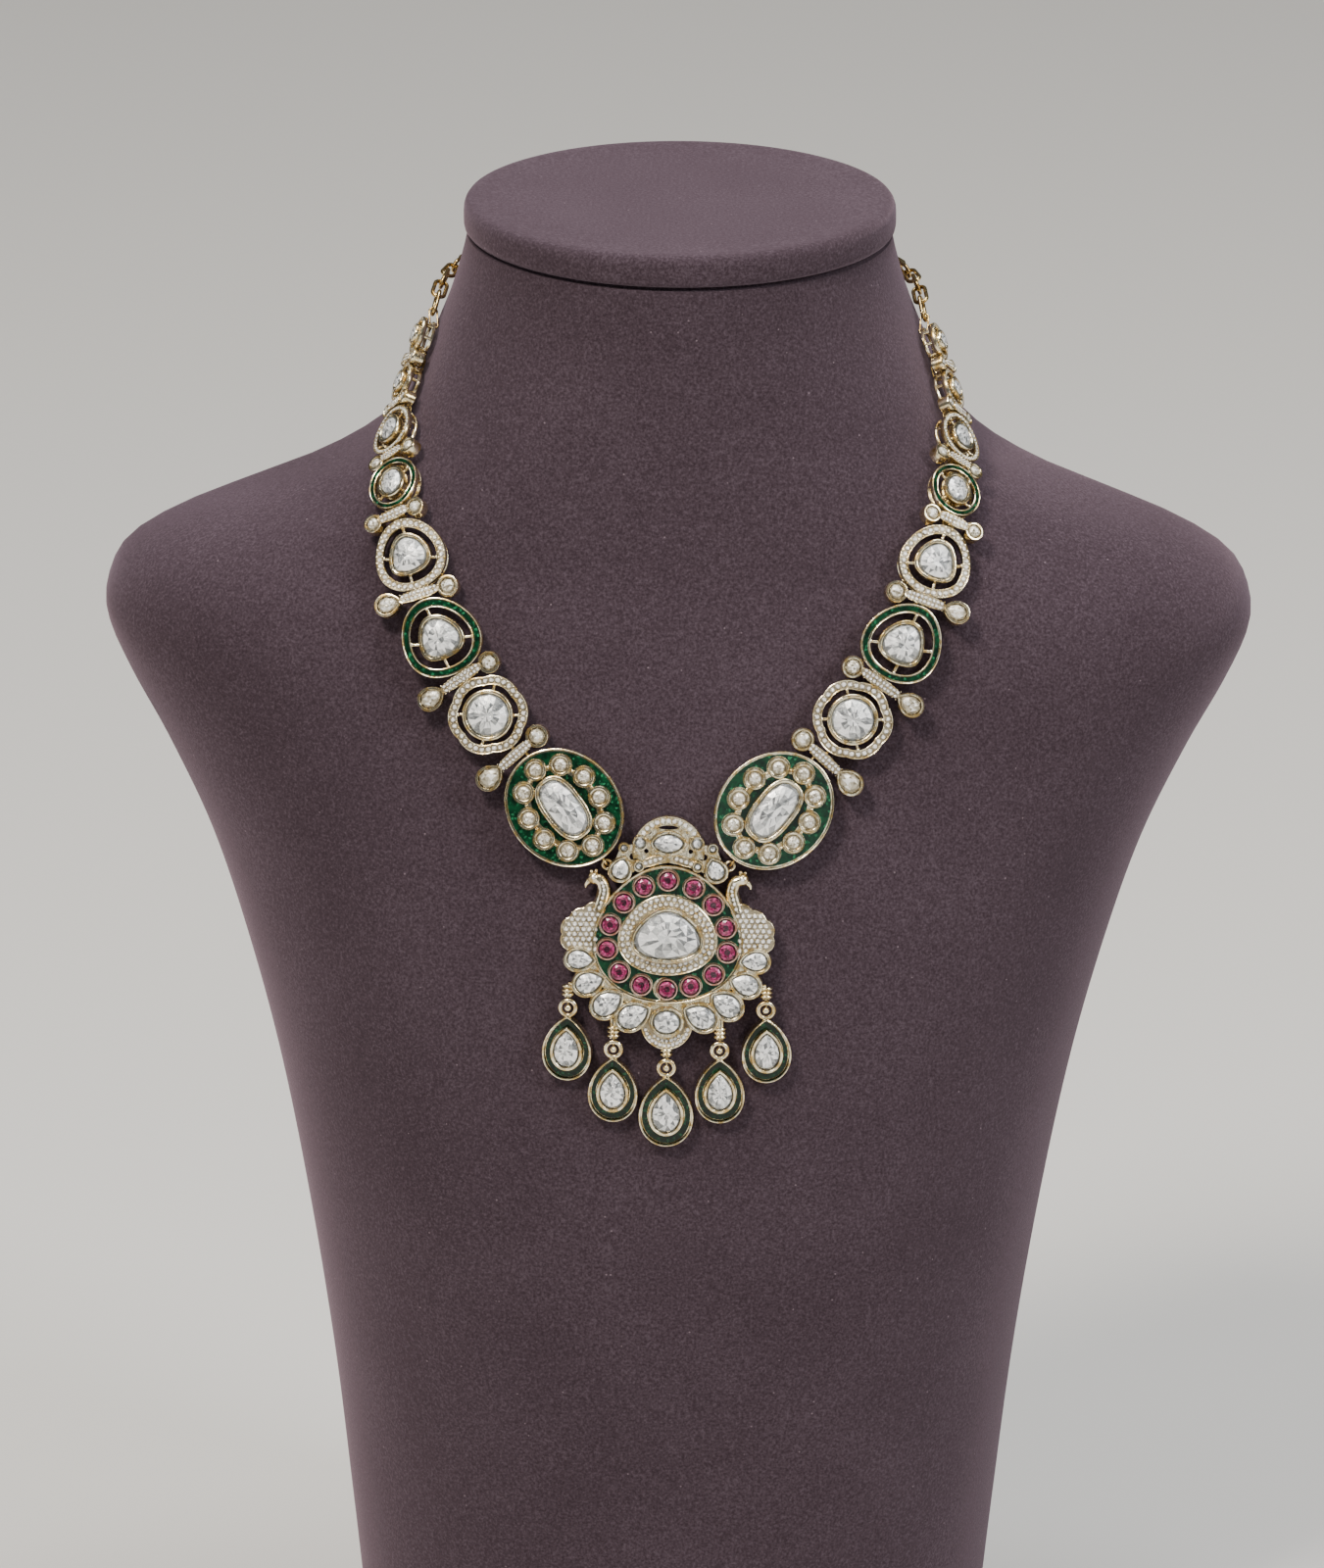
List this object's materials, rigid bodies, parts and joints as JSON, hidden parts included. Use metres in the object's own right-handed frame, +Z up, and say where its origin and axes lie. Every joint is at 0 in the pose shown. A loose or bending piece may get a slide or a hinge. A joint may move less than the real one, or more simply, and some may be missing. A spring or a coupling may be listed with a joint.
{
  "type": "kundan necklace on neck bust",
  "caption": "Enamelled stone-set necklace of oval and trillion links with a round pendant and pear drops, worn on a velvet neck bust",
  "frame": {"origin": "middle of the bust's flat underside", "axes": "+Z up, the chest faces -Y, +X to the viewer's right"},
  "size_m": [0.2262, 0.1207, 0.31],
  "materials": {
    "velvet": "plum grey velvet, matt with a faint sheen",
    "gold": "pale gold plating, polished",
    "enamel": "translucent green enamel, glossy",
    "clear_stone": "foil-backed clear cut stone",
    "ruby_stone": "foil-backed pink-red cut stone"
  },
  "bodies": {
    "root": {"bust": "velvet", "plate_left": "gold", "plate_right": "gold", "flower_link_left": "gold", "flower_link_right": "gold", "green_link_left": "gold", "green_link_right": "gold", "trillion_link_left": "gold", "trillion_link_right": "gold", "oval_link_left": "gold", "oval_link_right": "gold", "pear_link_left": "gold", "pear_link_right": "gold", "neck_link_left": "gold", "neck_link_right": "gold", "end_link_left": "gold", "end_link_right": "gold", "plate_stone_left": "clear_stone", "plate_stone_right": "clear_stone", "flower_link_stone_left": "clear_stone", "flower_link_stone_right": "clear_stone", "green_link_stone_left": "clear_stone", "green_link_stone_right": "clear_stone", "trillion_link_stone_left": "clear_stone", "trillion_link_stone_right": "clear_stone", "oval_link_stone_left": "clear_stone", "oval_link_stone_right": "clear_stone", "pear_link_stone_left": "clear_stone", "pear_link_stone_right": "clear_stone", "neck_link_stone_left": "clear_stone", "neck_link_stone_right": "clear_stone", "end_link_stone_left": "clear_stone", "end_link_stone_right": "clear_stone", "plate_stones_left": "clear_stone", "plate_stones_right": "clear_stone", "strand_enamel_left": "enamel", "strand_enamel_right": "enamel", "spacers_left": "gold", "spacers_right": "gold", "spacer_stones_left": "clear_stone", "spacer_stones_right": "clear_stone", "joining_rings_left": "gold", "joining_rings_right": "gold", "chain_left": "gold", "chain_right": "gold", "clasp": "gold", "pendant_frame": "gold", "pendant_enamel": "enamel", "pendant_centre_stone": "clear_stone", "pendant_rubies": "ruby_stone", "pendant_petal_stones": "clear_stone", "pendant_crown_stones": "clear_stone", "drop_middle": "gold", "drop_inner_left": "gold", "drop_inner_right": "gold", "drop_outer_left": "gold", "drop_outer_right": "gold", "drop_stones": "clear_stone", "drop_enamel": "enamel"}
  },
  "joints": []
}
